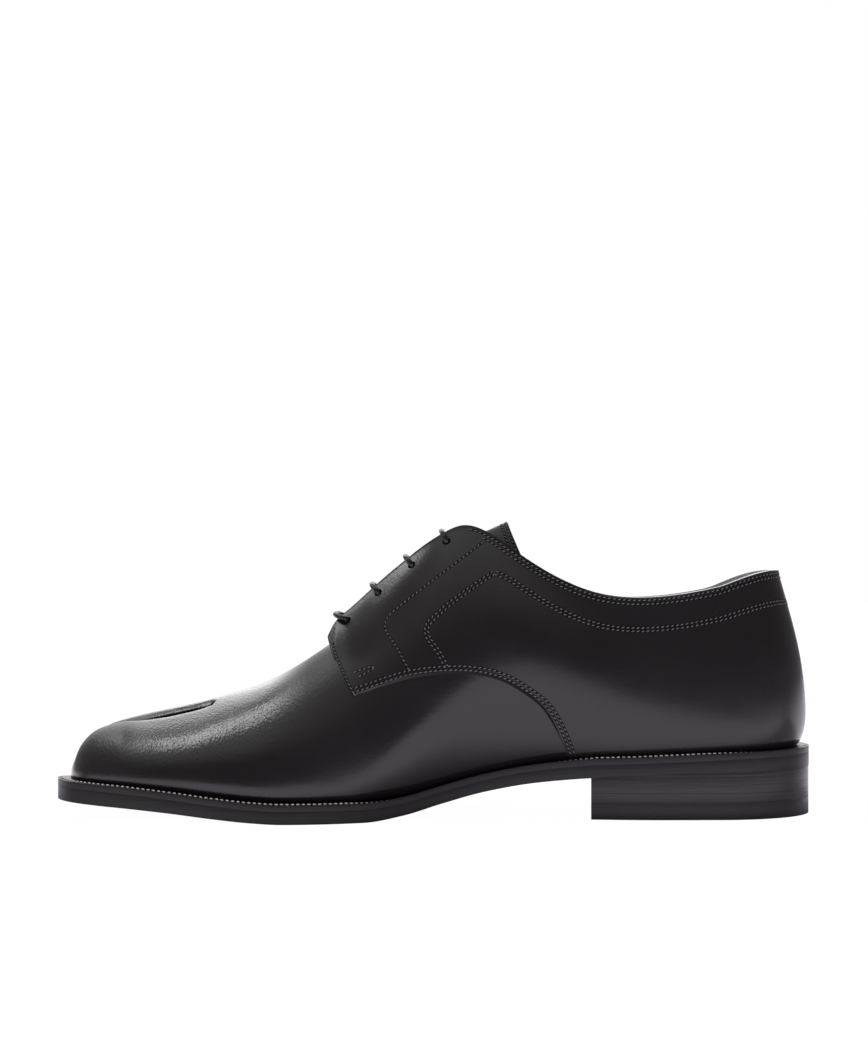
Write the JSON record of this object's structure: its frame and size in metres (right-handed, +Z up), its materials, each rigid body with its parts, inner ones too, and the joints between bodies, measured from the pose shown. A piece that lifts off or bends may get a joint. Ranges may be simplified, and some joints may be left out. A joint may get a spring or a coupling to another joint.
{
  "type": "lace-up shoe",
  "caption": "Low black leather lace-up shoe for the right foot, with a cloven toe, stitched quarters over the vamp, a welted sole and a stacked low heel.",
  "frame": {"origin": "on the floor, under the middle of the shoe's length and width", "axes": "+Z up, toe towards -X, heel towards +X, big-toe (medial) side towards -Y"},
  "size_m": [0.2982, 0.0993, 0.1158],
  "materials": {
    "upper_leather": "polished smooth calf",
    "tongue_leather": "smooth calf",
    "welt_leather": "dyed and waxed edge",
    "sole_leather": "dyed and waxed edge",
    "heel_leather": "dyed stacked layers",
    "heel_rubber": "moulded, satin",
    "insole_leather": "smooth sock lining",
    "waxed_cord": "fine round waxed lace"
  },
  "bodies": {
    "root": {"upper": "upper_leather", "tongue": "tongue_leather", "welt": "welt_leather", "outsole": "sole_leather", "heel_stack": "heel_leather", "heel_top_piece": "heel_rubber", "insole": "insole_leather", "lace_bar_1": "waxed_cord", "lace_bar_2": "waxed_cord", "lace_bar_3": "waxed_cord", "lace_bar_4": "waxed_cord"}
  },
  "joints": []
}
